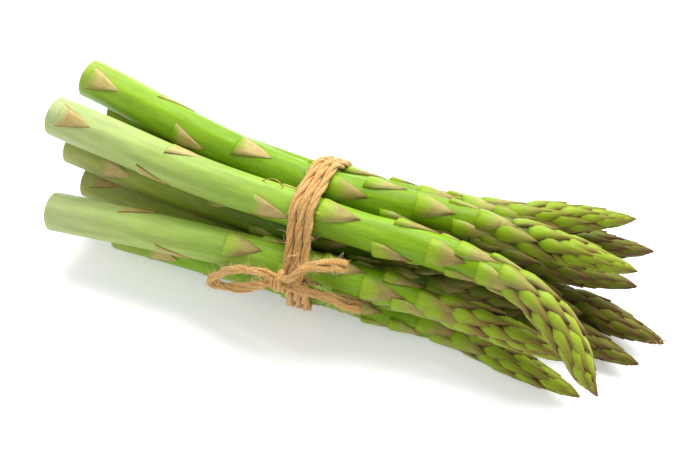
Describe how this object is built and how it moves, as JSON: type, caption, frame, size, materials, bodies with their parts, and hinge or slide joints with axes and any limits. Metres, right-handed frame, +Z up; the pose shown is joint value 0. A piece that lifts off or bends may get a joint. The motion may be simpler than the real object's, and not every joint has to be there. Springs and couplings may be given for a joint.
{
  "type": "bundle of asparagus",
  "caption": "Bunch of green asparagus spears lying on its side, with closed pointed heads, held together by a jute twine tie with a small bow.",
  "frame": {"origin": "middle of the underside of the bunch's box, on the surface that it lies on", "axes": "+X along the bunch from the cut ends to the tips, +Z up from the surface that it lies on"},
  "size_m": [0.2394, 0.0813, 0.0591],
  "materials": {
    "spear_green": "fresh plant skin, smooth and waxy, satin",
    "jute_twine": "twisted jute, matt and hairy"
  },
  "bodies": {
    "root": {"spear_01": "spear_green", "spear_02": "spear_green", "spear_03": "spear_green", "spear_04": "spear_green", "spear_05": "spear_green", "spear_06": "spear_green", "spear_07": "spear_green", "spear_08": "spear_green", "spear_09": "spear_green", "spear_10": "spear_green", "spear_11": "spear_green", "twine_wraps": "jute_twine", "twine_knot": "jute_twine", "twine_loop": "jute_twine", "twine_tail_upper": "jute_twine", "twine_tail_lower": "jute_twine"}
  },
  "joints": []
}
